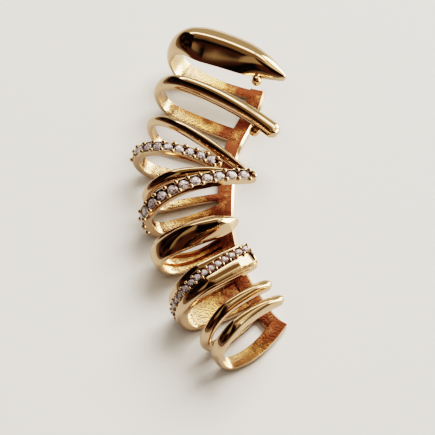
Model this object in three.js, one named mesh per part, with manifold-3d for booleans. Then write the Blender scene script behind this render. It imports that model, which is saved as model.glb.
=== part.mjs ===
// Ear cuff: ten gold hoops on one curved spine strip, lying on its back.
// Millimetres, +Z up. The hoops open towards +X, and the rim of the ear runs along Y inside them.
import * as THREE from "three";
import { mergeVertices } from "three/addons/utils/BufferGeometryUtils.js";
import Module from "manifold-3d";

// Where the origin goes: under the middle of the whole piece.
const middle = { x: -1.03, y: 0.73 };

// Heights of the channel that holds the rim of the ear, between the hoops' flat inner faces.
const channelFloor = 1.0;
const channelRoof = 7.2;
const channelMiddle = (channelFloor + channelRoof) / 2;

// The spine: a flat strip, through these points of its middle line.
const spineWidth = 2.1;
const spineThickness = 0.95;
const spineSteps = 20;
const spineLine = [
  { x: 5.45, y: 20.35 },
  { x: 4.4, y: 16.4 },
  { x: 1.9, y: 10.3 },
  { x: 1.1, y: 3.0 },
  { x: 1.35, y: -4.2 },
  { x: 3.25, y: -10.5 },
  { x: 5.05, y: -13.85 },
  { x: 6.4, y: -16.05 },
  { x: 7.9, y: -17.65 },
];

// Each hoop runs from the spine along its back limb, round the bend, and along its front limb to a tip.
// left: outermost point of the bend; tip: end of the front limb; root: where the back limb meets the spine.
// bow: how far a limb curves towards +Y on the way; lean: shift along Y for each mm of height.
// drop: how far the front limb comes down to its tip; rise: its height above the channel's roof.
// reach: how far the round of the bend reaches into the front limb and into the back limb.
// wall: height of the section's straight sides; end: share of the width left at the very tip.
// widths: at the root, the bend, then along the front limb at the places in frontPlaces.
// thick: at the root, the bend, the crown and the tip.
const frontPlaces = [0, 0.3, 0.6, 0.85, 1];
const hoops = [
  { name: "claw", left: { x: -6.8, y: 24.0 }, tip: { x: 9.0, y: 18.4 }, root: { x: 5.2, y: 19.4 },
    frontBow: 0.6, backBow: -0.3, lean: 0, drop: 1.4, rise: -0.1, wall: 0.06, end: 0.25, reach: [2.6, 2.4],
    widths: [1.4, 3.1, 5.6, 5.2, 3.2, 1.0], thick: [1.0, 1.1, 2.0, 0.7] },
  { name: "second", left: { x: -8.5, y: 17.4 }, tip: { x: 7.8, y: 9.1 }, root: { x: 2.6, y: 12.2 },
    frontBow: 1.0, backBow: -0.3, lean: -0.12, drop: 1.2, rise: 0, wall: 0.3, end: 0.25, reach: [3.2, 1.8],
    widths: [2.0, 1.8, 1.9, 2.1, 2.1, 2.2], thick: [1.0, 1.1, 1.5, 1.2] },
  { name: "third", left: { x: -9.4, y: 11.5 }, tip: { x: 3.9, y: 2.2 }, root: { x: 1.8, y: 8.8 },
    frontBow: 0.4, backBow: -0.4, lean: 0, drop: 1.0, rise: -0.1, wall: 0.3, end: 0.6, reach: [4.2, 1.9],
    widths: [1.6, 1.1, 1.5, 1.5, 1.0, 0.9], thick: [1.0, 1.0, 1.2, 1.0] },
  { name: "upper_pave", left: { x: -11.0, y: 6.6 }, tip: { x: 0.3, y: 3.7 }, root: { x: 1.3, y: 5.9 },
    frontBow: 0.5, backBow: -0.7, lean: -0.2, drop: 0.7, rise: 0, wall: 0.7, end: 0.8, reach: [4.3, 3.0],
    widths: [1.5, 1.8, 1.6, 1.5, 1.5, 1.3], thick: [1.0, 1.05, 1.1, 1.05], stones: "stones_upper_row" },
  { name: "fifth", left: { x: -9.7, y: 0.5 }, tip: { x: 1.6, y: 2.0 }, root: { x: 1.1, y: 2.8 },
    frontBow: 0.5, backBow: 0.2, lean: 0, drop: 0.4, rise: -0.2, wall: 0.3, end: 0.6, reach: [4.2, 2.5],
    widths: [1.1, 1.3, 1.5, 1.3, 1.2, 0.9], thick: [1.0, 1.0, 1.2, 1.0] },
  { name: "long_pave", left: { x: -9.8, y: -2.6 }, tip: { x: 4.8, y: 1.3 }, root: { x: 1.1, y: 0.9 },
    frontBow: 0.9, backBow: -0.5, lean: 0, drop: 0.6, rise: 0, wall: 0.7, end: 0.7, reach: [5.4, 2.0],
    widths: [1.9, 1.9, 1.8, 1.7, 1.7, 1.3], thick: [1.0, 1.15, 1.25, 1.15], stones: "stones_long_row" },
  { name: "shell", left: { x: -8.5, y: -8.6 }, tip: { x: 2.6, y: -4.7 }, root: { x: 1.4, y: -4.6 },
    frontBow: 0, backBow: -0.9, lean: -0.15, drop: 0.3, rise: -0.8, wall: 0.4, end: 0.25, reach: [5.2, 3.2],
    widths: [2.1, 3.6, 3.4, 3.3, 2.4, 0.6], thick: [1.0, 1.2, 2.35, 0.9] },
  { name: "wide", left: { x: -5.7, y: -16.4 }, tip: { x: 4.2, y: -11.2 }, root: { x: 3.6, y: -12.0 },
    frontBow: 0, backBow: -0.4, lean: -0.05, drop: 0.2, rise: 0.4, wall: 0.5, end: 0.85, reach: [3.4, 1.6],
    widths: [4.5, 3.6, 4.0, 3.8, 3.6, 3.3], thick: [1.0, 1.3, 1.7, 1.5], stones: "stones_wide_row" },
  { name: "ninth", left: { x: -2.2, y: -21.1 }, tip: { x: 6.5, y: -14.7 }, root: { x: 5.3, y: -14.7 },
    frontBow: 0.5, backBow: -0.3, lean: -0.05, drop: 0.6, rise: 0, wall: 0.3, end: 0.25, reach: [2.8, 1.8],
    widths: [1.6, 1.4, 1.4, 1.5, 1.5, 1.4], thick: [1.0, 1.0, 1.4, 1.05] },
  { name: "tenth", left: { x: -0.7, y: -23.2 }, tip: { x: 8.0, y: -16.6 }, root: { x: 7.9, y: -16.95 },
    frontBow: 0.7, backBow: -1.6, lean: -0.15, drop: 0.7, rise: 0, wall: 0.3, end: 0.25, reach: [2.2, 1.6],
    widths: [1.9, 1.7, 1.6, 1.6, 1.5, 1.3], thick: [1.0, 1.0, 1.4, 1.05] },
];

// Stations along a hoop, and facets across its domed outer face.
const backSteps = 4;
const bendSteps = 5;
const frontSteps = 9;
const domeSteps = 6;

// The back limb keeps its root width over the last third of its way.
const rootWidthFrom = 2 / 3;
// The crown keeps its thickness up to this place on the front limb.
const crownEnd = 0.7;
// The side walls take at most this share of the thickness.
const mostWall = 0.6;
const tipRoundLength = 0.8;

// Grip pegs under the two upper claws: a ball, and a short stem up to its foot in the claw.
const pegs = [
  { ball: { x: 5.2, y: 17.9, z: 6.05 }, radius: 0.7, foot: { x: 5.2, y: 18.8, z: 6.8 } },
  { ball: { x: 4.8, y: 9.6, z: 5.9 }, radius: 0.7, foot: { x: 4.8, y: 10.6, z: 6.8 } },
];
const stemRadius = 0.4;
const pegFacets = { ballRound: 10, ballHigh: 8, stem: 8 };

// Pave: each row of stones sits in a trough along its hoop, with a small gap all round.
// crown: how far the stones stand above the hoop; flat: share of a row's width that is flat on top;
// above: how far the cut of the trough goes above the hoop.
// from, to: places along the hoop; half: half the row's width as a share of the hoop's;
// offset: shift of the row's middle as a share of the hoop's width, at the bend and at the tip.
const trough = { depth: 0.6, gap: 0.08, crown: 0.12, flat: 0.6, above: 1 };
const paveRows = {
  stones_upper_row: { from: -0.01, to: 0.95, half: 0.34, offset: [-0.04, -0.04] },
  stones_long_row: { from: -0.1, to: 0.95, half: 0.34, offset: [-0.07, -0.07] },
  stones_wide_row: { from: -0.14, to: 0.97, half: 0.14, offset: [0.0, 0.21] },
};

// Points closer together than this are one point; a hoop's direction is taken over this step of its way.
const samePoint = 1e-4;
const wayStep = 1e-3;

const gold = { color: 0xd9a066, roughness: 0.15, metalness: 1 };
const stoneLook = { color: 0xd8d0d4, roughness: 0.1, metalness: 0 };

const wasm = await Module();
wasm.setup();

const lerp = THREE.MathUtils.lerp;
const smooth = (t) => t * t * (3 - 2 * t);

// A value read off a few places: a smooth line through them that never overshoots.
function along(places, values, at) {
  const slopes = places.slice(1).map((place, i) => (values[i + 1] - values[i]) / (place - places[i]));
  const leans = values.map((_, i) => {
    const [before, after] = [slopes[Math.max(i - 1, 0)], slopes[Math.min(i, slopes.length - 1)]];
    return before * after > 0 ? (2 * before * after) / (before + after) : 0;
  });
  let i = 0;
  while (i < places.length - 2 && at > places[i + 1]) i += 1;
  const span = places[i + 1] - places[i];
  const t = THREE.MathUtils.clamp((at - places[i]) / span, 0, 1);
  const curve = leans[i] * t * (1 - t) ** 2 - leans[i + 1] * t * t * (1 - t);
  return lerp(values[i], values[i + 1], smooth(t)) + span * curve;
}

// Plan position and heading of a limb at share t of its way from the bend to its end.
function planAt(hoop, end, bow, t) {
  const inner = hoop.left.x + hoop.thick[1];
  const x = lerp(inner, end.x, t);
  const y = lerp(hoop.left.y, end.y, t) + 4 * bow * t * (1 - t);
  const heading = Math.atan2(end.y - hoop.left.y + 4 * bow * (1 - 2 * t), end.x - inner);
  return { x, y, heading };
}

// One station on a hoop: its point on the flat inner face, width, thickness, heading and the side it is on.
// place runs from -1 at the root, through 0 at the bend, to 1 at the tip.
function stationAt(hoop, place) {
  const front = place >= 0;
  const share = Math.abs(place);
  const end = front ? hoop.tip : hoop.root;
  const reach = front ? hoop.reach[0] : hoop.reach[1];
  const length = end.x - hoop.left.x - hoop.thick[1];
  const bendShare = reach / length;
  const plan = planAt(hoop, end, front ? hoop.frontBow : hoop.backBow, share);
  const lift = Math.sqrt(Math.max(0, 1 - (1 - Math.min(share / bendShare, 1)) ** 2));
  const limbZ = front ? channelRoof + hoop.rise : channelFloor;
  let z = lerp(channelMiddle, limbZ, lift);
  if (front && share > bendShare)
    z -= hoop.drop * ((share - bendShare) / (1 - bendShare)) ** 2;
  const across = planAt(hoop, hoop.tip, hoop.frontBow, 0).heading;
  const backAcross = planAt(hoop, hoop.root, hoop.backBow, 0).heading;
  const bendHeading = (across + backAcross) / 2;
  const heading = lerp(bendHeading, plan.heading, smooth(Math.min(share / bendShare, 1)));
  const [rootWidth, bendWidth, ...frontWidths] = hoop.widths;
  const width = front
    ? along(frontPlaces, [bendWidth, ...frontWidths], share)
    : lerp(bendWidth, rootWidth, smooth(Math.min(share / rootWidthFrom, 1)));
  const [rootThick, bendThick, crownThick, tipThick] = hoop.thick;
  const thick = front
    ? along([0, bendShare, crownEnd, 1], [bendThick, crownThick, crownThick, tipThick], share)
    : lerp(bendThick, rootThick, Math.min(share / bendShare, 1));
  const point = new THREE.Vector3(plan.x, plan.y + hoop.lean * (z - channelMiddle), z);
  return { point, heading, width, thick };
}

// The places of a hoop's stations, closer together round the bend.
function stationPlaces(hoop) {
  const frontShare = hoop.reach[0] / (hoop.tip.x - hoop.left.x - hoop.thick[1]);
  const backShare = hoop.reach[1] / (hoop.root.x - hoop.left.x - hoop.thick[1]);
  const places = [];
  for (let i = 0; i < backSteps; i += 1) places.push(-lerp(1, backShare, i / backSteps));
  for (let i = bendSteps; i > 0; i -= 1)
    places.push(-backShare * (1 - Math.cos((i / bendSteps) * (Math.PI / 2))));
  for (let i = 0; i < bendSteps; i += 1)
    places.push(frontShare * (1 - Math.cos((i / bendSteps) * (Math.PI / 2))));
  for (let i = 0; i < frontSteps; i += 1) places.push(lerp(frontShare, 1, i / frontSteps));
  places.push(1);
  return places;
}

// Axes of a section: across the hoop, and outwards from the channel.
function frameAt(hoop, place) {
  const here = stationAt(hoop, place);
  const before = stationAt(hoop, Math.max(place - wayStep, -1)).point;
  const after = stationAt(hoop, Math.min(place + wayStep, 1)).point;
  const forward = after.sub(before).normalize();
  const across = new THREE.Vector3(-Math.sin(here.heading), Math.cos(here.heading), 0);
  across.addScaledVector(forward, -across.dot(forward)).normalize();
  const out = new THREE.Vector3().crossVectors(forward, across);
  return { ...here, place, across, out };
}

// Domed section: a flat inner face, low side walls and a half-round outer face.
function domeSection(width, thick, wall) {
  const half = width / 2;
  const low = Math.min(wall, thick * mostWall);
  const points = [{ a: half, b: 0 }];
  for (let i = 0; i <= domeSteps; i += 1) {
    const turn = (i / domeSteps) * Math.PI;
    points.push({ a: half * Math.cos(turn), b: low + (thick - low) * Math.sin(turn) });
  }
  points.push({ a: -half, b: 0 });
  return points;
}

// A closed mesh through rings of points, with both ends filled.
function meshOfRings(rings) {
  const count = rings[0].length;
  const positions = rings.flat().flatMap((p) => [p.x, p.y, p.z]);
  const index = [];
  for (let r = 0; r + 1 < rings.length; r += 1)
    for (let i = 0; i < count; i += 1) {
      const [a, b] = [r * count + i, r * count + ((i + 1) % count)];
      index.push(a, b, b + count, a, b + count, a + count);
    }
  for (let i = 1; i + 1 < count; i += 1) {
    const last = (rings.length - 1) * count;
    index.push(0, i + 1, i, last, last + i, last + i + 1);
  }
  const geometry = new THREE.BufferGeometry();
  geometry.setAttribute("position", new THREE.Float32BufferAttribute(positions, 3));
  geometry.setIndex(index);
  return geometry;
}

function toSolid(geometry) {
  geometry.deleteAttribute("normal");
  geometry.deleteAttribute("uv");
  const merged = mergeVertices(geometry, samePoint);
  return new wasm.Manifold(
    new wasm.Mesh({
      numProp: 3,
      vertProperties: merged.attributes.position.array,
      triVerts: new Uint32Array(merged.index.array),
    }),
  );
}

// A ring of a hoop's section at one station.
function ringAt(frame, section) {
  return section.map(({ a, b }) =>
    frame.point.clone().addScaledVector(frame.across, a).addScaledVector(frame.out, b),
  );
}

function hoopSolid(hoop) {
  const tipLength = tipRoundLength / (hoop.tip.x - hoop.left.x);
  const rings = stationPlaces(hoop).map((place) => {
    const frame = frameAt(hoop, place);
    const fromTip = THREE.MathUtils.clamp((1 - place) / tipLength, 0, 1);
    const round = lerp(hoop.end, 1, Math.sqrt(1 - (1 - fromTip) ** 2));
    return ringAt(frame, domeSection(frame.width * round, frame.thick * (1 + round) / 2, hoop.wall));
  });
  return toSolid(meshOfRings(rings));
}

// A bar along a hoop's outer face: the row of stones, or with no inset the trough cut for it.
function rowSolid(hoop, inset, from, to) {
  const { offset, half } = paveRows[hoop.stones];
  const places = stationPlaces(hoop).filter((place) => place > from && place < to);
  const rings = [from, ...places, to].map((place) => {
    const frame = frameAt(hoop, place);
    const middleLine = lerp(...offset, smooth(Math.max(place, 0))) * frame.width;
    const side = half * frame.width - inset;
    const top = frame.thick + (inset ? trough.crown : trough.above);
    const bottom = frame.thick - trough.depth + inset;
    return ringAt(frame, [
      { a: middleLine + side, b: bottom },
      { a: middleLine + side, b: frame.thick },
      { a: middleLine + side * trough.flat, b: top },
      { a: middleLine - side * trough.flat, b: top },
      { a: middleLine - side, b: frame.thick },
      { a: middleLine - side, b: bottom },
    ]);
  });
  return toSolid(meshOfRings(rings));
}

function spineSolid() {
  const curve = new THREE.CatmullRomCurve3(
    spineLine.map(({ x, y }) => new THREE.Vector3(x, y, 0)),
  );
  const half = spineWidth / 2;
  const corners = [[-half, 0], [half, 0], [half, spineThickness], [-half, spineThickness]];
  const rings = [];
  for (let i = 0; i <= spineSteps; i += 1) {
    const at = curve.getPoint(i / spineSteps);
    const ahead = curve.getTangent(i / spineSteps);
    const side = new THREE.Vector3(-ahead.y, ahead.x, 0);
    rings.push(corners.map(([a, z]) => at.clone().addScaledVector(side, a).setZ(z)));
  }
  return toSolid(meshOfRings(rings));
}

function pegSolid({ ball, radius, foot }) {
  const from = new THREE.Vector3(ball.x, ball.y, ball.z);
  const to = new THREE.Vector3(foot.x, foot.y, foot.z);
  const up = new THREE.Vector3(0, 1, 0);
  const turn = new THREE.Quaternion().setFromUnitVectors(up, to.clone().sub(from).normalize());
  const stem = new THREE.CylinderGeometry(stemRadius, stemRadius, from.distanceTo(to), pegFacets.stem)
    .applyQuaternion(turn)
    .translate(...from.clone().lerp(to, 0.5).toArray());
  const bead = new THREE.SphereGeometry(radius, pegFacets.ballRound, pegFacets.ballHigh)
    .translate(ball.x, ball.y, ball.z);
  return toSolid(bead).add(toSolid(stem));
}

function toMesh(name, solid, look) {
  const mesh = solid.getMesh();
  const geometry = new THREE.BufferGeometry();
  geometry.setAttribute("position", new THREE.BufferAttribute(mesh.vertProperties, mesh.numProp));
  geometry.setIndex(new THREE.BufferAttribute(mesh.triVerts, 1));
  geometry.translate(-middle.x, -middle.y, 0);
  const made = new THREE.Mesh(geometry, new THREE.MeshStandardMaterial(look));
  made.name = name;
  return made;
}

const cuff = new THREE.Group();

let metal = spineSolid();
for (const hoop of hoops) metal = metal.add(hoopSolid(hoop));
for (const peg of pegs) metal = metal.add(pegSolid(peg));
for (const hoop of hoops.filter(({ stones }) => stones)) {
  const { from, to } = paveRows[hoop.stones];
  metal = metal.subtract(rowSolid(hoop, 0, from, to));
  const endGap = trough.gap / (hoop.tip.x - hoop.left.x);
  const row = rowSolid(hoop, trough.gap, from + endGap, to - endGap);
  cuff.add(toMesh(hoop.stones, row, stoneLook));
}
cuff.add(toMesh("cuff_metal", metal, gold));

export default cuff;
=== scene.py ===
import math

import bpy
import numpy as np
from mathutils import Matrix, Vector


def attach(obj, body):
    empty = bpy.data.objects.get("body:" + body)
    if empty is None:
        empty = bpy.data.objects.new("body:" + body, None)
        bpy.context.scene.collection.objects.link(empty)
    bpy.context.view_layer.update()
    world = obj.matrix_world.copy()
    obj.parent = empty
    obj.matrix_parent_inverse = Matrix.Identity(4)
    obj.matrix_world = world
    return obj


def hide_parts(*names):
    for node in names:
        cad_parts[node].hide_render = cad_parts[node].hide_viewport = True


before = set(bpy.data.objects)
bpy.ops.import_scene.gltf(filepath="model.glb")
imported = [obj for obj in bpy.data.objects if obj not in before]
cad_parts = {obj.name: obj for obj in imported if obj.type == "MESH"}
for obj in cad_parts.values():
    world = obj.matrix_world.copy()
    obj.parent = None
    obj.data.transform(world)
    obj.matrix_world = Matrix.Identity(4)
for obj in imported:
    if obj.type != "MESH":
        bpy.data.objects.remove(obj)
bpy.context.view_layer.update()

mm = 0.001
middle = np.array([-1.03, 0.73, 0.0])   # the origin's place in the maker's plan, in mm
print("frame loaded")


class Wire:
    # one socket, with maths on it
    def __init__(self, finish, socket):
        self.finish = finish
        self.socket = socket

    def join(self, operation, first, second):
        return self.finish.add("ShaderNodeMath", {"operation": operation}, {0: first, 1: second})

    def __add__(self, other):
        return self.join("ADD", self, other)

    __radd__ = __add__

    def __sub__(self, other):
        return self.join("SUBTRACT", self, other)

    def __rsub__(self, other):
        return self.join("SUBTRACT", other, self)

    def __mul__(self, other):
        return self.join("MULTIPLY", self, other)

    def __rmul__(self, other):
        return self.join("MULTIPLY", other, self)

    def step(self, low, high):
        # 0 below low, 1 above high, a soft ramp between
        return self.finish.add("ShaderNodeMapRange", {"interpolation_type": "SMOOTHSTEP"},
                               {0: self, 1: low, 2: high, 3: 0.0, 4: 1.0})


class Finish:
    # a material's or a world's node tree, emptied but for its output
    def __init__(self, tree, output):
        self.tree = tree
        tree.nodes.clear()
        self.output = tree.nodes.new(output)

    def add(self, kind, settings=None, sockets=None, output=0):
        node = self.tree.nodes.new(kind)
        for key, value in (settings or {}).items():
            setattr(node, key, value)
        for key, value in (sockets or {}).items():
            if isinstance(value, Wire):
                self.tree.links.new(value.socket, node.inputs[key])
            else:
                node.inputs[key].default_value = value
        return Wire(self, node.outputs[output])

    def mixColours(self, share, first, second):
        return self.add("ShaderNodeMix", {"data_type": "RGBA"}, {0: share, 6: first, 7: second}, 2)

    def close(self, wire):
        self.tree.links.new(wire.socket, self.output.inputs[0])


def makeMaterial(name):
    material = bpy.data.materials.new(name)
    material.use_nodes = True
    return material, Finish(material.node_tree, "ShaderNodeOutputMaterial")


# Scales are in cells for each metre and bump heights in metres; pairs are where a soft change begins
# and ends.
# The cast colour is the cast skin's orange, deepened as painted gold-on-gold reflection; the stained colour
# is tarnish and painted shade, both growing towards the spine and in the channels.
goldLook = {
    "polished": (0.60, 0.415, 0.27, 1), "castWithReflection": (0.74, 0.42, 0.17, 1), "stainedAndShaded": (0.16, 0.05, 0.024, 1),
    "rough": 0.05, "roughScratch": 0.04, "roughCast": 0.17, "roughLeast": 0.1, "roughBlotch": 0.5,
    "blotchScale": 700.0, "blotchShare": 0.9, "blotchMiddle": 0.5, "stainAndShade": (0.35, 0.85),
    "castLeast": 0.35, "castSkin": (0.2, 1.0), "speckle": 0.35, "speckles": (0.45, 0.75),
    "pitScale": 3800.0, "pitDepth": 0.00008, "pitStrength": 0.6,
    "scratchScale": 6000.0, "scratchDepth": 0.000003, "scratchStrength": 0.3,
    "waveScale": 330.0, "waveDepth": 0.00003, "waveStrength": 0.35, "brushing": (0.15, 1.0, 1.0),
}


def makeGold():
    # polished outside; the faces in the channel keep the cast skin, which turns more orange and then dark
    # towards the spine and in the channels: partly real cast skin and tarnish, partly painted reflection
    # and painted shade
    look = goldLook
    material, gold = makeMaterial("gold")
    place = gold.add("ShaderNodeTexCoord", output=3)
    inside = gold.add("ShaderNodeAttribute", {"attribute_name": "inside"}, output=2)
    depth = gold.add("ShaderNodeAttribute", {"attribute_name": "depth"}, output=2)

    def noise(scale, detail, vector=place):
        return gold.add("ShaderNodeTexNoise", None, {"Vector": vector, "Scale": scale, "Detail": detail})

    def bump(kind, height, normal=None):
        sockets = {"Strength": look[kind + "Strength"], "Distance": look[kind + "Depth"], "Height": height}
        if normal is not None:
            sockets["Normal"] = normal
        return gold.add("ShaderNodeBump", None, sockets)

    blotch = noise(look["blotchScale"], 4.0)
    pits = noise(look["pitScale"], 3.0)
    wave = noise(look["waveScale"], 1.0)
    brushed = gold.add("ShaderNodeMapping", None, {"Vector": place, "Scale": look["brushing"]})
    scratch = noise(look["scratchScale"], 2.0, brushed)
    # stain with painted shade, and the cast orange with its painted reflection, both grow with depth
    # towards the spine
    stainAndShade = (depth + look["blotchShare"] * (blotch - look["blotchMiddle"])).step(*look["stainAndShade"])
    skin = inside * (look["castLeast"] + depth).step(*look["castSkin"])
    speckles = inside * pits.step(*look["speckles"]) * look["speckle"]
    colour = gold.mixColours(skin, look["polished"], look["castWithReflection"])
    colour = gold.mixColours(speckles, colour, look["polished"])
    colour = gold.mixColours(stainAndShade * inside, colour, look["stainedAndShaded"])
    rough = (look["rough"] + look["roughScratch"] * scratch
             + inside * look["roughCast"] * (look["roughLeast"] + depth + look["roughBlotch"] * blotch))
    relief = bump("scratch", scratch)
    relief = bump("wave", wave, relief)
    relief = bump("pit", pits * inside, relief)
    gold.close(gold.add("ShaderNodeBsdfPrincipled", None,
                        {"Base Color": colour, "Metallic": 1.0, "Roughness": rough, "Normal": relief}))
    return material


# The stone's light and dark colours are painted facet reflections, laid out by the facet tones.
stoneLook = {
    "bright": (1.0, 0.90, 0.93, 1), "shade": (0.15, 0.085, 0.08, 1), "facetShare": 0.8,
    "cloudScale": 2500.0, "cloudShare": 0.3, "cloudMiddle": 0.6, "rough": 0.03, "roughCloud": 0.06,
    "ior": 2.0, "transmission": 0.2,
}


def makeStone():
    look = stoneLook
    material, stone = makeMaterial("stone")
    place = stone.add("ShaderNodeTexCoord", output=3)
    facet = stone.add("ShaderNodeAttribute", {"attribute_name": "facet"}, output=2)
    cloud = stone.add("ShaderNodeTexNoise", None,
                      {"Vector": place, "Scale": look["cloudScale"], "Detail": 2.0})
    # painted facet reflections: each facet's tone, with a random cloud over it
    tone = facet * look["facetShare"] + (cloud - look["cloudMiddle"]) * look["cloudShare"]
    stone.close(stone.add("ShaderNodeBsdfPrincipled", None, {
        "Base Color": stone.mixColours(tone, look["shade"], look["bright"]),
        "Roughness": look["rough"] + look["roughCloud"] * cloud, "IOR": look["ior"],
        "Transmission Weight": look["transmission"]}))
    return material


# side and below are in metres
floorLook = {
    "side": 3.0, "below": 0.00002, "grey": (0.80, 0.79, 0.76, 1), "white": (0.84, 0.82, 0.80, 1),
    "mottleScale": 9.0, "rough": 0.45,
}


def makeFloorFinish():
    look = floorLook
    material, floor = makeMaterial("floor_paper")
    place = floor.add("ShaderNodeTexCoord", output=3)
    mottle = floor.add("ShaderNodeTexNoise", None,
                       {"Vector": place, "Scale": look["mottleScale"], "Detail": 3.0})
    colour = floor.mixColours(mottle, look["grey"], look["white"])
    floor.close(floor.add("ShaderNodeBsdfPrincipled", None,
                          {"Base Color": colour, "Roughness": look["rough"]}))
    return material


goldFinish = makeGold()
stoneFinish = makeStone()
floorFinish = makeFloorFinish()
print("finishes ready")


# The maker's plan of the hoops, in mm: heights of the channel for the rim of the ear first.
channelFloor = 1.0
channelRoof = 7.2
channelMiddle = (channelFloor + channelRoof) / 2
frontPlaces = [0, 0.3, 0.6, 0.85, 1]   # places on the front limb that the widths belong to
crownEnd = 0.7                         # the crown keeps its thickness up to here
rootWidthFrom = 2 / 3                  # from here on the back limb has its root's width

# left, tip and root are the bend's outermost point, the front limb's end and the back limb's joint.
# widths: root, bend, then along the front limb; thick: root, bend, crown, tip.
# bows: how far the front and the back limb curve towards +Y; lean: shift along Y for each mm of height.
# drop: how far the front limb comes down to its tip; rise: its height above the channel's roof.
# wall: height of the section's straight sides; reach: how far the bend goes into each limb.
hoops = {
    "claw": {"left": (-6.8, 24.0), "tip": (9.0, 18.4), "root": (5.2, 19.4), "bows": (0.6, -0.3),
             "lean": 0, "drop": 1.4, "rise": -0.1, "wall": 0.06, "reach": (2.6, 2.4),
             "widths": [1.4, 3.1, 5.6, 5.2, 3.2, 1.0], "thick": [1.0, 1.1, 2.0, 0.7]},
    "second": {"left": (-8.5, 17.4), "tip": (7.8, 9.1), "root": (2.6, 12.2), "bows": (1.0, -0.3),
               "lean": -0.12, "drop": 1.2, "rise": 0, "wall": 0.3, "reach": (3.2, 1.8),
               "widths": [2.0, 1.8, 1.9, 2.1, 2.1, 2.2], "thick": [1.0, 1.1, 1.5, 1.2]},
    "third": {"left": (-9.4, 11.5), "tip": (3.9, 2.2), "root": (1.8, 8.8), "bows": (0.4, -0.4),
              "lean": 0, "drop": 1.0, "rise": -0.1, "wall": 0.3, "reach": (4.2, 1.9),
              "widths": [1.6, 1.1, 1.5, 1.5, 1.0, 0.9], "thick": [1.0, 1.0, 1.2, 1.0]},
    "upper_pave": {"left": (-11.0, 6.6), "tip": (0.3, 3.7), "root": (1.3, 5.9), "bows": (0.5, -0.7),
                   "lean": -0.2, "drop": 0.7, "rise": 0, "wall": 0.7, "reach": (4.3, 3.0),
                   "widths": [1.5, 1.8, 1.6, 1.5, 1.5, 1.3], "thick": [1.0, 1.05, 1.1, 1.05]},
    "fifth": {"left": (-9.7, 0.5), "tip": (1.6, 2.0), "root": (1.1, 2.8), "bows": (0.5, 0.2),
              "lean": 0, "drop": 0.4, "rise": -0.2, "wall": 0.3, "reach": (4.2, 2.5),
              "widths": [1.1, 1.3, 1.5, 1.3, 1.2, 0.9], "thick": [1.0, 1.0, 1.2, 1.0]},
    "long_pave": {"left": (-9.8, -2.6), "tip": (4.8, 1.3), "root": (1.1, 0.9), "bows": (0.9, -0.5),
                  "lean": 0, "drop": 0.6, "rise": 0, "wall": 0.7, "reach": (5.4, 2.0),
                  "widths": [1.9, 1.9, 1.8, 1.7, 1.7, 1.3], "thick": [1.0, 1.15, 1.25, 1.15]},
    "shell": {"left": (-8.5, -8.6), "tip": (2.6, -4.7), "root": (1.4, -4.6), "bows": (0, -0.9),
              "lean": -0.15, "drop": 0.3, "rise": -0.8, "wall": 0.4, "reach": (5.2, 3.2),
              "widths": [2.1, 3.6, 3.4, 3.3, 2.4, 0.6], "thick": [1.0, 1.2, 2.35, 0.9]},
    "wide": {"left": (-5.7, -16.4), "tip": (4.2, -11.2), "root": (3.6, -12.0), "bows": (0, -0.4),
             "lean": -0.05, "drop": 0.2, "rise": 0.4, "wall": 0.5, "reach": (3.4, 1.6),
             "widths": [4.5, 3.6, 4.0, 3.8, 3.6, 3.3], "thick": [1.0, 1.3, 1.7, 1.5]},
    "ninth": {"left": (-2.2, -21.1), "tip": (6.5, -14.7), "root": (5.3, -14.7), "bows": (0.5, -0.3),
              "lean": -0.05, "drop": 0.6, "rise": 0, "wall": 0.3, "reach": (2.8, 1.8),
              "widths": [1.6, 1.4, 1.4, 1.5, 1.5, 1.4], "thick": [1.0, 1.0, 1.4, 1.05]},
    "tenth": {"left": (-0.7, -23.2), "tip": (8.0, -16.6), "root": (7.9, -16.95), "bows": (0.7, -1.6),
              "lean": -0.15, "drop": 0.7, "rise": 0, "wall": 0.3, "reach": (2.2, 1.6),
              "widths": [1.9, 1.7, 1.6, 1.6, 1.5, 1.3], "thick": [1.0, 1.0, 1.4, 1.05]},
}

fineness = {"back": 26, "bend": 22, "front": 90, "tip": 16}   # sections along each part of a hoop
tipLength = {"fine": 0.9, "round": 0.8}   # mm at the tip with closer sections, and with rounded ones


def lerp(a, b, t):
    return a + (b - a) * t


def ease(t):
    t = min(max(t, 0.0), 1.0)
    return t * t * (3 - 2 * t)


def easeOver(at, start, end):
    return ease((at - start) / (end - start))


def along(places, values, at):
    # a value read off a few places: a smooth line through them that never overshoots
    slopes = [(v1 - v0) / (p1 - p0) for v0, v1, p0, p1 in zip(values, values[1:], places, places[1:])]
    lean = [2 * s0 * s1 / (s0 + s1) if s0 * s1 > 0 else 0
            for s0, s1 in zip(slopes[:1] + slopes, slopes + slopes[-1:])]
    i = 0
    while i < len(places) - 2 and at > places[i + 1]:
        i += 1
    span = places[i + 1] - places[i]
    t = min(max((at - places[i]) / span, 0.0), 1.0)
    return (lerp(values[i], values[i + 1], ease(t))
            + span * (lean[i] * t * (1 - t) ** 2 - lean[i + 1] * t * t * (1 - t)))


def limbOf(hoop, front):
    # plan length, end point, bow and the share of the limb that the bend takes
    inner = hoop["left"][0] + hoop["thick"][1]
    end = hoop["tip"] if front else hoop["root"]
    bow = hoop["bows"][0] if front else hoop["bows"][1]
    bend = hoop["reach"][0 if front else 1] / (end[0] - inner)
    return inner, end, bow, bend


def headingAt(hoop, front, share):
    inner, end, bow, bend = limbOf(hoop, front)
    return math.atan2(end[1] - hoop["left"][1] + 4 * bow * (1 - 2 * share), end[0] - inner)


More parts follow.
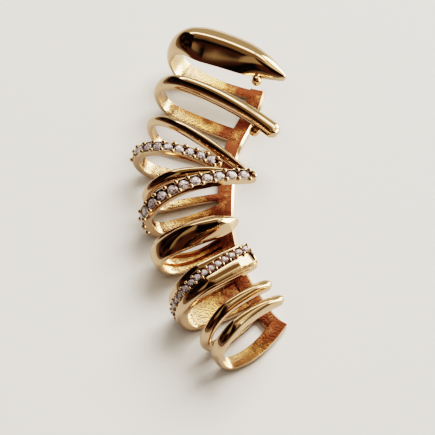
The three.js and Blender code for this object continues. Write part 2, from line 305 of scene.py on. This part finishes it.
def stationAt(hoop, place):
    # place runs from -1 at the root, through 0 at the bend, to 1 at the tip
    front, share = place >= 0, abs(place)
    inner, end, bow, bend = limbOf(hoop, front)
    x = lerp(inner, end[0], share)
    y = lerp(hoop["left"][1], end[1], share) + 4 * bow * share * (1 - share)
    lift = math.sqrt(max(0.0, 1 - (1 - min(share / bend, 1)) ** 2))
    z = lerp(channelMiddle, channelRoof + hoop["rise"] if front else channelFloor, lift)
    if front and share > bend:
        z -= hoop["drop"] * ((share - bend) / (1 - bend)) ** 2
    bendHeading = (headingAt(hoop, True, 0) + headingAt(hoop, False, 0)) / 2
    heading = lerp(bendHeading, headingAt(hoop, front, share), ease(share / bend))
    rootWidth, bendWidth, *frontWidths = hoop["widths"]
    rootThick, bendThick, crownThick, tipThick = hoop["thick"]
    if front:
        width = along(frontPlaces, [bendWidth, *frontWidths], share)
        thick = along([0, bend, crownEnd, 1], [bendThick, crownThick, crownThick, tipThick], share)
    else:
        width = lerp(bendWidth, rootWidth, ease(share / rootWidthFrom))
        thick = lerp(bendThick, rootThick, min(share / bend, 1))
    point = np.array([x, y + hoop["lean"] * (z - channelMiddle), z])
    return point, heading, width, thick


def frameAt(hoop, place):
    # a section's axes: across the hoop, and outwards from the channel
    step = 1e-3   # the direction is taken over this step of the way
    point, heading, width, thick = stationAt(hoop, place)
    forward = stationAt(hoop, min(place + step, 1))[0] - stationAt(hoop, max(place - step, -1))[0]
    forward /= np.linalg.norm(forward)
    across = np.array([-math.sin(heading), math.cos(heading), 0.0])
    across -= forward * across.dot(forward)
    across /= np.linalg.norm(across)
    return {"point": point, "across": across, "out": np.cross(forward, across),
            "forward": forward, "width": width, "thick": thick, "place": place}


def stationPlaces(hoop):
    frontBend, backBend = limbOf(hoop, True)[3], limbOf(hoop, False)[3]
    back, bend, front, tip = (fineness[key] for key in ("back", "bend", "front", "tip"))
    tipShare = tipLength["fine"] / (hoop["tip"][0] - hoop["left"][0])
    places = [-lerp(1, backBend, i / back) for i in range(back)]
    places += [-backBend * (1 - math.cos(i / bend * math.pi / 2)) for i in range(bend, 0, -1)]
    places += [frontBend * (1 - math.cos(i / bend * math.pi / 2)) for i in range(bend)]
    places += [lerp(frontBend, 1 - tipShare, i / front) for i in range(front)]
    places += [1 - tipShare * (1 - math.sin(i / tip * math.pi / 2)) for i in range(tip + 1)]
    return places


def corner(centre, radius, start, turns=4):
    # a quarter turn of a small round edge
    return [(centre[0] + radius * math.cos(start + i / turns * math.pi / 2),
             centre[1] + radius * math.sin(start + i / turns * math.pi / 2)) for i in range(turns + 1)]


# Small measures of every section: the edge's radius in mm, the rest shares of its half width, of its
# side walls and of its thickness.
edge = {"round": 0.09, "halfShare": 0.3, "wallShare": 0.5, "mostWall": 0.6, "stripWall": 0.7}
mainShare = 0.35   # a strip wider than this is the hoop's main one and gets the skew
stripSteps = {"main": 26, "side": 10}
# least: metal left under a channel, in mm; flat: the even part of its floor, as a share of its half
# width; filled: height before it begins, as a share of the thickness; opens: how soon it is down.
channelShape = {"least": 0.15, "flat": 0.4, "filled": 0.9, "opens": 0.012}
# The places on the front limb between which a section's shape changes.
changes = {"spread": (0.0, 2 / 7), "tipShape": (0.4, 0.9), "skew": (3 / 14, 13 / 14), "groove": (1.0, 0.75)}

# How each hoop's outer face is made up, from its +across edge: strips with their share of the width.
# A dome has its shapes and a top share; a channel has a depth in mm.
# shapes: on the +across side, on the -across side, and there at the tip. A positive one is the power of
# an ellipse; a negative one that of a slope which ends in an edge.
# tip: the strips' shares at the tip, where they differ; grooves, groove and rim: recesses along the
# inner face, their depth and the rim beside them in mm.
# skew: how far the crown's ridge stands towards the +across edge, at the bend and at the tip.
# cutFrom: the place where the channel begins; it is filled up to the rails before that.
paveRail = ("rail", 0.11, (4, 4, 4), 0.9)
paveStrips = [paveRail, ("channel", 0.78, None, 0.55), paveRail]
sections = {
    "claw": {"strips": [("dome", 1.0, (2.0, -1.5, -2.0), 1.0)], "skew": (0.05, -0.05)},
    "second": {"strips": [("dome", 1.0, (2.5, 2.5, 2.5), 1.0)], "skew": (0.25, -0.35)},
    "third": {"strips": [("dome", 1.0, (2.2, 2.2, 2.2), 1.0)], "skew": (0.1, 0.1)},
    "upper_pave": {"strips": paveStrips, "cutFrom": -0.005},
    "fifth": {"strips": [("dome", 1.0, (2.2, 2.2, 2.2), 1.0)], "skew": (0.2, 0.2)},
    "long_pave": {"strips": paveStrips, "cutFrom": -0.115},
    "shell": {"strips": [("dome", 0.14, (3, 3, 3), 0.40), ("dome", 0.86, (2.0, -1.7, -2.1), 1.0)],
              "skew": (0.3, -0.1), "grooves": 2, "groove": 0.5, "rim": 0.35},
    "wide": {"strips": [("dome", 0.36, (3, 3, 3), 0.85), ("channel", 0.28, None, 0.55),
                        ("dome", 0.36, (5, 2.2, 2.2), 1.0)],
             "tip": (0.13, 0.31, 0.56), "skew": (0.3, 0.3), "grooves": 1, "groove": 0.25, "rim": 0.35,
             "cutFrom": -0.18},
    "ninth": {"strips": [("dome", 1.0, (1.9, 1.9, 1.9), 1.0)], "skew": (0.35, -0.35)},
    "tenth": {"strips": [("dome", 1.0, (1.9, 1.9, 1.9), 1.0)], "skew": (0.35, -0.35)},
}


def domePoint(turn, shape, spread):
    # how far out and how high a point of a dome's side is, as shares
    c, s, power = abs(math.cos(turn)), abs(math.sin(turn)), abs(shape)
    if shape > 0:
        return c ** (2 / power), s ** (2 / power)
    return c, lerp(s, 1 - c ** power, spread)


def stripPoints(kind, a0, a1, shapes, top, low, thick, steps, skew, place, cut):
    # one strip's points from a0 down to a1: a dome or a rail rises from the height low, a channel is cut
    centre, half = (a0 + a1) / 2, (a0 - a1) / 2
    if kind == "channel":
        flat = half * channelShape["flat"]
        floor = lerp(thick * channelShape["filled"], max(thick - top, channelShape["least"]), cut)
        return [(a0, floor), (centre + flat, floor), (centre - flat, floor), (a1, floor)]
    peak = skew * half if kind == "dome" else 0.0
    far, near, nearTip = shapes
    near = lerp(near, nearTip, easeOver(place, *changes["tipShape"]))
    spread = easeOver(place, *changes["spread"])
    points = []
    for i in range(steps + 1):
        turn = i / steps * math.pi
        side = 1 if turn < math.pi / 2 else -1
        out, high = domePoint(turn, far if side > 0 else near, spread)
        points.append((centre + peak + side * (half - side * peak) * out,
                       low + (thick * top - low) * high))
    return points


flatPad = {"hoop": "wide", "from": 0.77, "to": 0.975, "drop": 0.26}   # a bare pad near the tip, mm deep
grooveShape = {"thickShare": 0.4, "rimShare": 0.3, "slope": 0.3}   # at most these shares


def groovePoints(look, half, thick, fade):
    # the recesses along the inner face, from the -across side
    count, depth = look["grooves"], min(look["groove"], thick * grooveShape["thickShare"]) * fade
    rim = min(look["rim"], half * grooveShape["rimShare"])
    pitch = (2 * half - rim) / count
    slope = rim * grooveShape["slope"]
    points = []
    for k in range(count):
        a0, a1 = -half + rim + k * pitch, -half + (k + 1) * pitch
        points += [(a0, 0), (a0 + slope, depth), (a1 - slope, depth), (a1, 0)]
    return points


def outline(name, f):
    # the closed outline of a hoop's section, the inner face first
    look, place, k = sections[name], f["place"], tipScale(name, f["place"])
    width, thick = f["width"] * k, f["thick"] * (1 + k) / 2
    half = width / 2
    low = min(hoops[name]["wall"], thick * edge["mostWall"])
    r = min(edge["round"], half * edge["halfShare"], low * edge["wallShare"])
    points = corner((-half + r, r), r, math.pi)
    if "grooves" in look:
        points += groovePoints(look, half, thick, easeOver(place, *changes["groove"]))
    points += corner((half - r, r), r, -math.pi / 2)
    skew = lerp(*look.get("skew", (0, 0)), easeOver(place, *changes["skew"]))
    strips = look["strips"]
    tips = look.get("tip", [strip[1] for strip in strips])
    pad = name == flatPad["hoop"] and flatPad["from"] < place < flatPad["to"]
    cut = ease((place - look.get("cutFrom", -1)) / channelShape["opens"])
    at = half
    for (kind, part, shapes, top), tipPart in zip(strips, tips):
        main = part > mainShare
        share = lerp(part, tipPart, ease(max(place, 0))) * width
        inner = low if len(strips) == 1 else min(low, thick * top * edge["stripWall"])
        steps = stripSteps["main" if main else "side"]
        strip = stripPoints(kind, at, at - share, shapes, top, inner, thick, steps,
                            skew if main else 0.0, place, cut)
        if pad and main:
            strip = [(a, min(b, thick - flatPad["drop"])) for a, b in strip]
        points += strip
        at -= share
    return points


def sweep(name, places):
    rings = []
    for place in places:
        f = frameAt(hoops[name], place)
        rings.append([f["point"] + f["across"] * a + f["out"] * b for a, b in outline(name, f)])
    return np.array(rings)


# The share of a hoop's width that is left at the very tip.
tipEnds = {"claw": 0.4, "third": 0.6, "upper_pave": 0.8, "fifth": 0.6, "long_pave": 0.7, "wide": 0.85}
otherTipEnd = 0.2


def tipScale(name, place):
    # the rounding of a tip: the width at this place as a share of the whole
    hoop = hoops[name]
    share = tipLength["round"] / (hoop["tip"][0] - hoop["left"][0])
    fromTip = min(max((1 - place) / share, 0), 1)
    return lerp(tipEnds.get(name, otherTipEnd), 1, math.sqrt(1 - (1 - fromTip) ** 2))


def makePiece(name, points, faces, finish, stands, marks=None, sharp=40, facets=None):
    # marks are values at the points, facets those on the faces; edges over sharp degrees stay sharp
    mesh = bpy.data.meshes.new(name)
    mesh.from_pydata((np.asarray(points) - middle).tolist(), [], faces)
    mesh.transform(Matrix.Scale(mm, 4))
    for key, values in (marks or {}).items():
        mesh.attributes.new(key, "FLOAT", "POINT").data.foreach_set("value", np.asarray(values, float))
    if facets is not None:
        mesh.attributes.new("facet", "FLOAT", "FACE").data.foreach_set("value", facets)
    mesh.shade_smooth()
    mesh.set_sharp_from_angle(angle=math.radians(sharp))
    mesh.materials.append(finish)
    piece = bpy.data.objects.new(name, mesh)
    bpy.context.scene.collection.objects.link(piece)
    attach(piece, "root")
    if stands:
        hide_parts(stands)


def ringFaces(ringCount, pointCount):
    # a closed skin over rings of points, with both ends capped
    faces = []
    for r in range(ringCount - 1):
        for i in range(pointCount):
            a, b = r * pointCount + i, r * pointCount + (i + 1) % pointCount
            faces.append((a, b, b + pointCount, a + pointCount))
    faces.append(tuple(reversed(range(pointCount))))
    last = (ringCount - 1) * pointCount
    faces.append(tuple(last + i for i in range(pointCount)))
    return faces


# Where the cast skin shows, and how much stain and painted shade it carries. skin: how far it reaches up
# from the inner face, in mm; rim: half widths between which it ends at the sides; pit and pitHeights: what
# lies in a channel, as shares of the half width and of the thickness, where the floor gets the full stain
# and painted shade; deep and front: how much stain and painted shade a root or a channel, and a front limb,
# gets.
castSkin = {"skin": 0.05, "rim": (0.97, 1.0), "pit": 0.85, "pitHeights": (0.4, 0.8), "deep": 0.85,
            "front": 0.3, "frontFrom": 0.25}


def makeHoop(name):
    hoop, look = hoops[name], castSkin
    places = stationPlaces(hoop)
    rings = sweep(name, places)
    hollow = sections[name].get("groove", 0) + look["skin"]
    channel = any(strip[0] == "channel" for strip in sections[name]["strips"])
    insides, depths = [], []
    for place, ring in zip(places, rings):
        f = frameAt(hoop, place)
        rise = (ring - f["point"]) @ f["out"]
        side = np.abs((ring - f["point"]) @ f["across"]) / (f["width"] / 2)
        lowest, highest = (f["thick"] * share for share in look["pitHeights"])
        pits = [channel and w < look["pit"] and lowest < d < highest for d, w in zip(rise, side)]
        # stain and painted shade: light on the front limbs, none at the bend, growing towards the root
        stainedAndShaded = look["front"] if place > look["frontFrom"] else look["deep"] * ease(-place)
        for d, w, pit in zip(rise, side, pits):
            skin = (1 - easeOver(d, hollow, hollow + look["skin"])) * (1 - easeOver(w, *look["rim"]))
            insides.append(1.0 if pit else skin)
            depths.append(look["deep"] if pit else stainedAndShaded)
    makePiece("hoop_" + name, rings.reshape(-1, 3), ringFaces(len(places), rings.shape[1]),
              goldFinish, "cuff_metal", {"inside": insides, "depth": depths})


for name in hoops:
    makeHoop(name)
    print("hoop made:", name)


# skinAt: where the cast skin starts beside the bevel, in bevel widths from the open side's edge; the
# spine's top carries heavy stain and painted shade.
spine = {"width": 2.1, "thick": 0.97, "steps": 120, "round": 0.1, "chamfer": 0.27, "skinAt": 1.1,
         "stainedAndShaded": 0.85,
         "line": [(5.45, 20.35), (4.4, 16.4), (1.9, 10.3), (1.1, 3.0), (1.35, -4.2), (3.25, -10.5),
                  (5.05, -13.85), (6.4, -16.05), (7.9, -17.65)]}


def smoothLine(points, steps):
    # a centripetal Catmull-Rom curve through the points
    pts = [np.array(p, float) for p in points]
    ends = [2 * pts[0] - pts[1]] + pts + [2 * pts[-1] - pts[-2]]
    line = []
    for k in range(steps + 1):
        way = k / steps * (len(pts) - 1)
        i = min(int(way), len(pts) - 2)
        w = way - i
        p0, p1, p2, p3 = ends[i:i + 4]
        d0, d1, d2 = (max(np.linalg.norm(b - a), 1e-4) ** 0.5 for a, b in ((p0, p1), (p1, p2), (p2, p3)))
        t1 = ((p1 - p0) / d0 - (p2 - p0) / (d0 + d1) + (p2 - p1) / d1) * d1
        t2 = ((p2 - p1) / d1 - (p3 - p1) / (d1 + d2) + (p3 - p2) / d2) * d1
        c2, c3 = 3 * (p2 - p1) - 2 * t1 - t2, 2 * (p1 - p2) + t1 + t2
        line.append(p1 + t1 * w + c2 * w * w + c3 * w ** 3)
    return np.array(line)


def makeSpine():
    line = smoothLine(spine["line"], spine["steps"])
    ahead = np.gradient(line, axis=0)
    ahead /= np.linalg.norm(ahead, axis=1)[:, None]
    half, thick, r = spine["width"] / 2, spine["thick"], spine["round"]
    slope = spine["chamfer"]
    skinFrom = half - slope * spine["skinAt"]
    section = (corner((half - r, r), r, -math.pi / 2)
               + [(half, thick - slope), (half - slope, thick), (skinFrom, thick)]
               + corner((-half + r, thick - r), r, math.pi / 2) + corner((-half + r, r), r, math.pi))
    points = np.array([(x - dy * a, y + dx * a, b)
                       for (x, y), (dx, dy) in zip(line, ahead) for a, b in section])
    inside = [float(b > thick - r / 2 and a <= skinFrom) for a, b in section] * len(line)
    # its cast top is dark with stain and painted shade
    makePiece("spine", points, ringFaces(len(line), len(section)), goldFinish, "cuff_metal",
              {"inside": inside, "depth": [spine["stainedAndShaded"]] * len(points)})


makeSpine()
print("spine made")


# Grip pegs: a ball, and its stem up to the foot in the hoop above it. The stem widens a little at the
# foot, and the ball is painted darker below than above: painted shade, laid on through the stain colour.
pegLook = {"steps": 20, "pole": 0.02, "flareFrom": 0.9, "flare": 1.1, "stainedAndShaded": (0.2, 0.6)}
pegs = {
    "grip_peg_claw": {"ball": (5.2, 17.9, 6.05), "radius": 0.7, "foot": (5.2, 18.65, 6.5), "stem": 0.4},
    "grip_peg_second": {"ball": (4.8, 9.6, 5.9), "radius": 0.7, "foot": (4.8, 10.6, 6.8), "stem": 0.4},
}


def turnedFaces(profile, axis, origin, turns=32):
    # a turned shape: profile rows are (distance along the axis, radius); the axis mustn't be along X
    axis = np.array(axis, float) / np.linalg.norm(axis)
    side = np.cross(axis, (1.0, 0.0, 0.0))
    side /= np.linalg.norm(side)
    other = np.cross(axis, side)
    rings = []
    for h, r in profile:
        rings += [origin + axis * h + (side * math.cos(t) + other * math.sin(t)) * r
                  for t in np.linspace(0, 2 * math.pi, turns, endpoint=False)]
    return np.array(rings), ringFaces(len(profile), turns)


def makePeg(name):
    peg, look = pegs[name], pegLook
    ball, foot, radius = np.array(peg["ball"]), np.array(peg["foot"]), peg["radius"]
    length = np.linalg.norm(foot - ball)
    neck = math.asin(peg["stem"] / radius)
    profile = []
    for i in range(look["steps"] + 1):
        turn = lerp(look["pole"], math.pi - neck, i / look["steps"])
        profile.append((-radius * math.cos(turn), radius * math.sin(turn)))
    profile += [(length * look["flareFrom"], peg["stem"]), (length, peg["stem"] * look["flare"])]
    points, faces = turnedFaces(profile, foot - ball, ball)
    # painted shade: more stain colour towards the ball's underside
    low = [lerp(*look["stainedAndShaded"], ease((ball[2] + radius - z) / (2 * radius))) for x, y, z in points]
    makePiece(name, points, faces, goldFinish, "cuff_metal",
              {"inside": [1.0] * len(points), "depth": low})


for name in pegs:
    makePeg(name)
print("pegs made")


# Rows of stones. from, to: places along the hoop; offset: the row's middle as a share of the width, at
# the bend and at the tip; the rest in mm.
# lift: height of the tables over the metal; beadSide: from the row's middle out to the bead prongs.
paveRows = {
    "upper": {"hoop": "upper_pave", "node": "stones_upper_row", "from": 0.0, "to": 0.935,
              "offset": (-0.04, -0.04), "stone": 1.32, "pitch": 1.47, "lift": 0.08,
              "bead": 0.32, "beadSide": 0.6, "tipBead": 0.38, "seed": 11},
    "long": {"hoop": "long_pave", "node": "stones_long_row", "from": -0.1, "to": 0.935,
             "offset": (-0.07, -0.07), "stone": 1.42, "pitch": 1.6, "lift": 0.08,
             "bead": 0.34, "beadSide": 0.67, "tipBead": 0.46, "seed": 23},
    "wide": {"hoop": "wide", "node": "stones_wide_row", "from": -0.14, "to": 0.995,
             "offset": (0.0, 0.21), "stone": 0.96, "pitch": 1.05, "lift": 0.06,
             "bead": 0.23, "beadSide": 0.46, "tipBead": 0.22, "seed": 37},
}
tipBeadPlace = 0.98
fineFrames = 800   # frames along a row to pick the stones' places from

# A round brilliant in stone diameters: rings of (radius, height) from the table down, the height of the
# table's middle and that of the point below. The second ring is turned by half a facet.
gem = {"rings": [(0.27, 0.165), (0.42, 0.095), (0.5, 0.02), (0.5, -0.02), (0.24, -0.25)],
       "top": 0.18, "culet": -0.42, "sides": 8}
# Painted facet reflections: how bright each facet is painted, in turns round the table, then drawn from
# four tones.
gemTones = {"table": (0.9, 0.25), "spread": 0.3, "rest": (0.05, 0.2, 0.45, 0.95), "gain": (0.75, 1.1)}


def brilliant(diameter):
    n, rings = gem["sides"], gem["rings"]
    points = [(0, 0, gem["top"])]
    for row, (radius, height) in enumerate(rings):
        twist = 0.5 if row == 1 else 0
        points += [(radius * math.cos((i + twist) / n * 2 * math.pi),
                    radius * math.sin((i + twist) / n * 2 * math.pi), height) for i in range(n)]
    points.append((0, 0, gem["culet"]))
    faces = [(0, 1 + i, 1 + (i + 1) % n) for i in range(n)]
    for row in range(len(rings) - 1):
        high, low = 1 + row * n, 1 + (row + 1) * n
        for i in range(n):
            j = (i + 1) % n
            faces += [(high + i, low + i, high + j), (high + j, low + i, low + j)]
    last = 1 + (len(rings) - 1) * n
    faces += [(last + i, len(points) - 1, last + (i + 1) % n) for i in range(n)]
    return np.array(points) * diameter, faces


def rowFrames(row):
    # frames one pitch apart along the hoop's outer face, from the tip backwards, and those between
    hoop = hoops[row["hoop"]]
    fine = [frameAt(hoop, place) for place in np.linspace(row["from"], row["to"], fineFrames)]
    outer = np.array([f["point"] + f["out"] * f["thick"] for f in fine])
    length = np.concatenate([[0], np.cumsum(np.linalg.norm(np.diff(outer, axis=0), axis=1))])
    count = int((length[-1] - row["stone"]) / row["pitch"]) + 1
    start = length[-1] - row["stone"] / 2

    def pick(steps):
        found = [np.searchsorted(length, max(start - k * row["pitch"], 0)) for k in steps]
        return [fine[min(int(i), fineFrames - 1)] for i in found]

    return pick(range(count)), pick([k - 0.5 for k in range(count + 1)])


def ballMesh(radius, segments=12, rows=8):
    points, faces = [(0, 0, radius)], []
    for r in range(1, rows):
        t = r / rows * math.pi
        for i in range(segments):
            a = i / segments * 2 * math.pi
            points.append((radius * math.sin(t) * math.cos(a), radius * math.sin(t) * math.sin(a),
                           radius * math.cos(t)))
    points.append((0, 0, -radius))
    last = len(points) - 1
    for i in range(segments):
        j = (i + 1) % segments
        faces.append((0, 1 + i, 1 + j))
        for r in range(rows - 2):
            a, b = 1 + r * segments, 1 + (r + 1) * segments
            faces.append((a + i, b + i, b + j, a + j))
        a = 1 + (rows - 2) * segments
        faces.append((last, a + j, a + i))
    return np.array(points), faces


def joined(copies, points, faces):
    # many copies of one small mesh as one: each copy is (three axes, place)
    allPoints = [points @ axes + place for axes, place in copies]
    allFaces = [tuple(i + k * len(points) for i in face) for k in range(len(copies)) for face in faces]
    return np.concatenate(allPoints), allFaces


def axesOf(f, turn=0.0):
    c, s = math.cos(turn), math.sin(turn)
    return np.array([f["forward"] * c + f["across"] * s, f["across"] * c - f["forward"] * s, f["out"]])


def rowMiddle(row, f):
    return f["across"] * lerp(*row["offset"], ease(max(f["place"], 0))) * f["width"]


def makeRow(name):
    row = paveRows[name]
    chance = np.random.default_rng(row["seed"])
    stones, between = rowFrames(row)
    stone, stoneFaces = brilliant(row["stone"])
    copies = []
    for f in stones:
        seat = f["thick"] + row["lift"] - gem["top"] * row["stone"]
        copies.append((axesOf(f, chance.uniform(0, math.pi)),
                       f["point"] + f["out"] * seat + rowMiddle(row, f)))
    points, faces = joined(copies, stone, stoneFaces)
    # each stone's painted facet reflections, with a random gain for each stone
    tones, sides, spread = [], gem["sides"], gemTones["spread"]
    for _ in copies:
        table = np.tile(gemTones["table"], sides // 2) + chance.uniform(-spread, spread, sides)
        rest = chance.choice(gemTones["rest"], len(stoneFaces) - sides)
        tones += list(np.clip(np.concatenate([table, rest]) * chance.uniform(*gemTones["gain"]), 0, 1))
    makePiece("stones_" + name, points, faces, stoneFinish, row["node"], sharp=1, facets=tones)
    spots = []
    for f in between:
        for side in (-1, 1):
            spots.append((axesOf(f), f["point"] + f["out"] * f["thick"]
                          + f["across"] * side * row["beadSide"] + rowMiddle(row, f)))
    end = frameAt(hoops[row["hoop"]], tipBeadPlace)
    tipGrow = row["tipBead"] / row["bead"]
    spots.append((axesOf(end) * tipGrow, end["point"] + end["out"] * (end["thick"] - row["tipBead"] / 2)
                  + rowMiddle(row, end)))
    bead, beadFaces = ballMesh(row["bead"])
    points, faces = joined(spots, bead, beadFaces)
    makePiece("prongs_" + name, points, faces, goldFinish, None,
              {"inside": [0.0] * len(points), "depth": [0.0] * len(points)})


for name in paveRows:
    makeRow(name)
print("stones set")


def makeFloor():
    side = floorLook["side"]
    corners = [(-side, -side, 0), (side, -side, 0), (side, side, 0), (-side, side, 0)]
    mesh = bpy.data.meshes.new("floor")
    mesh.from_pydata(corners, [], [(0, 1, 2, 3)])
    mesh.materials.append(floorFinish)
    floor = bpy.data.objects.new("floor", mesh)
    floor.location.z = -floorLook["below"]
    bpy.context.scene.collection.objects.link(floor)


skyLook = {
    "far": (0.60, 0.54, 0.40, 1), "white": (2.1, 1.9, 1.55, 1), "cream": (1.6, 1.3, 0.95, 1),
    "strip": (7.0, 6.8, 6.0, 1), "window": (12.0, 11.2, 9.4, 1), "side": (0.46, 0.37, 0.24, 1),
    "zenith": (0.27, 0.20, 0.11, 1), "horizon": (0.27, 0.22, 0.16, 1),
    "dark": (0.006, 0.004, 0.004, 1), "brown": (0.10, 0.045, 0.025, 1),
    "patchScale": 2.6, "patches": (0.48, 0.62), "strength": 1.2,
}
# Degrees from +Y towards +X, and degrees above the table: where a soft edge begins and ends, or both
# ends of a stretch and how soft they are.
skyTurn = {
    "back": (-34, 118, 10), "side": (108, 134, 8), "frontRight": (163, 172), "frontLeft": (-154, -146),
    "cream": (54, 118, 14), "strips": [(-30, 24, 4), (29, 62, 4)], "windows": [(36, 68, 5), (73, 112, 5)],
}
skyRise = {
    "side": (14, 30), "front": (38, 48), "horizon": (6, 18), "white": (38, 46), "strips": (42, 52, 3),
    "windows": (-4, 34, 5), "zenith": (53, 62), "top": (76, 84),
}


def past(wire, start, end):
    return wire.step(math.radians(start), math.radians(end))


def between(wire, low, high, soft):
    return past(wire, low, low + soft) * (1 - past(wire, high - soft, high))


def makeSky():
    # a room round the table: bright behind and to the right, tan beside it, dark in front and to the left
    look = skyLook
    world = bpy.data.worlds.new("studio")
    world.use_nodes = True
    bpy.context.scene.world = world
    world.cycles_visibility.diffuse = False   # lamps light the floor, the sky is what the metal mirrors
    sky = Finish(world.node_tree, "ShaderNodeOutputWorld")
    direction = sky.add("ShaderNodeTexCoord", output=0)
    x, y, z = (sky.add("ShaderNodeSeparateXYZ", None, {0: direction}, i) for i in range(3))
    turn = sky.add("ShaderNodeMath", {"operation": "ARCTAN2"}, {0: x, 1: y})
    rise = sky.add("ShaderNodeMath", {"operation": "ARCSINE"}, {0: z})
    patches = sky.add("ShaderNodeTexNoise", None,
                      {"Vector": direction, "Scale": look["patchScale"], "Detail": 2.0})

    back = between(turn, *skyTurn["back"])
    high = past(rise, *skyRise["white"])
    side = between(turn, *skyTurn["side"]) * past(rise, *skyRise["side"])
    front = past(turn, *skyTurn["frontRight"]) + (1 - past(turn, *skyTurn["frontLeft"]))
    strips = between(turn, *skyTurn["strips"][0]) + between(turn, *skyTurn["strips"][1])
    windows = between(turn, *skyTurn["windows"][0]) + between(turn, *skyTurn["windows"][1])
    layers = [
        ("side", side + front * past(rise, *skyRise["front"])),
        ("horizon", (1 - past(rise, *skyRise["horizon"])) * (1 - back)),
        ("far", back),
        ("white", back * high),
        ("cream", between(turn, *skyTurn["cream"]) * high),
        ("strip", between(rise, *skyRise["strips"]) * strips),
        ("window", windows * between(rise, *skyRise["windows"])),
        ("zenith", back * past(rise, *skyRise["zenith"])),
        ("zenith", past(rise, *skyRise["top"])),
    ]
    colour = sky.mixColours(patches.step(*look["patches"]), look["dark"], look["brown"])
    for name, share in layers:   # each layer covers those before it
        colour = sky.mixColours(share, colour, look[name])
    sky.close(sky.add("ShaderNodeBackground", None, {0: colour, 1: look["strength"]}))


# metres and watts
lights = {
    "key": {"place": (0.48, 0.70, 0.85), "size": (0.9, 0.9), "power": 33, "colour": (1.0, 0.96, 0.9)},
    "overhead": {"place": (-0.25, -0.1, 1.2), "size": (1.4, 1.4), "power": 8.8, "colour": (1.0, 0.9, 0.76)},
}


def makeLight(name, look):
    lamp = bpy.data.lights.new(name, "AREA")
    lamp.shape = "RECTANGLE"
    lamp.size, lamp.size_y = look["size"]
    lamp.energy = look["power"]
    lamp.color = look["colour"]
    holder = bpy.data.objects.new(name, lamp)
    place = Vector(look["place"])
    holder.location = place
    holder.rotation_euler = (-place).to_track_quat("-Z", "Y").to_euler()
    holder.visible_glossy = False
    bpy.context.scene.collection.objects.link(holder)


cameraLook = {"distance": 280.0, "elevation": 55.0, "frameWidth": 56.55, "sensor": 36.0, "nearest": 0.01}


def makeCamera():
    look = cameraLook
    lens = bpy.data.cameras.new("camera")
    lens.sensor_width = look["sensor"]
    lens.lens = look["sensor"] * look["distance"] / look["frameWidth"]
    lens.clip_start = look["nearest"]
    holder = bpy.data.objects.new("camera", lens)
    up = math.radians(look["elevation"])
    away = look["distance"] * np.array([0, -math.cos(up), math.sin(up)])
    holder.location = (away - middle) * mm   # it aims at the middle of the maker's plan
    holder.rotation_euler = (math.pi / 2 - up, 0, 0)
    bpy.context.scene.collection.objects.link(holder)
    bpy.context.scene.camera = holder


makeFloor()
makeSky()
for name, look in lights.items():
    makeLight(name, look)
makeCamera()
print("room, lights and camera ready")

view = bpy.context.scene.view_settings
view.view_transform = "Filmic"
view.look = "High Contrast"
view.exposure = -0.35
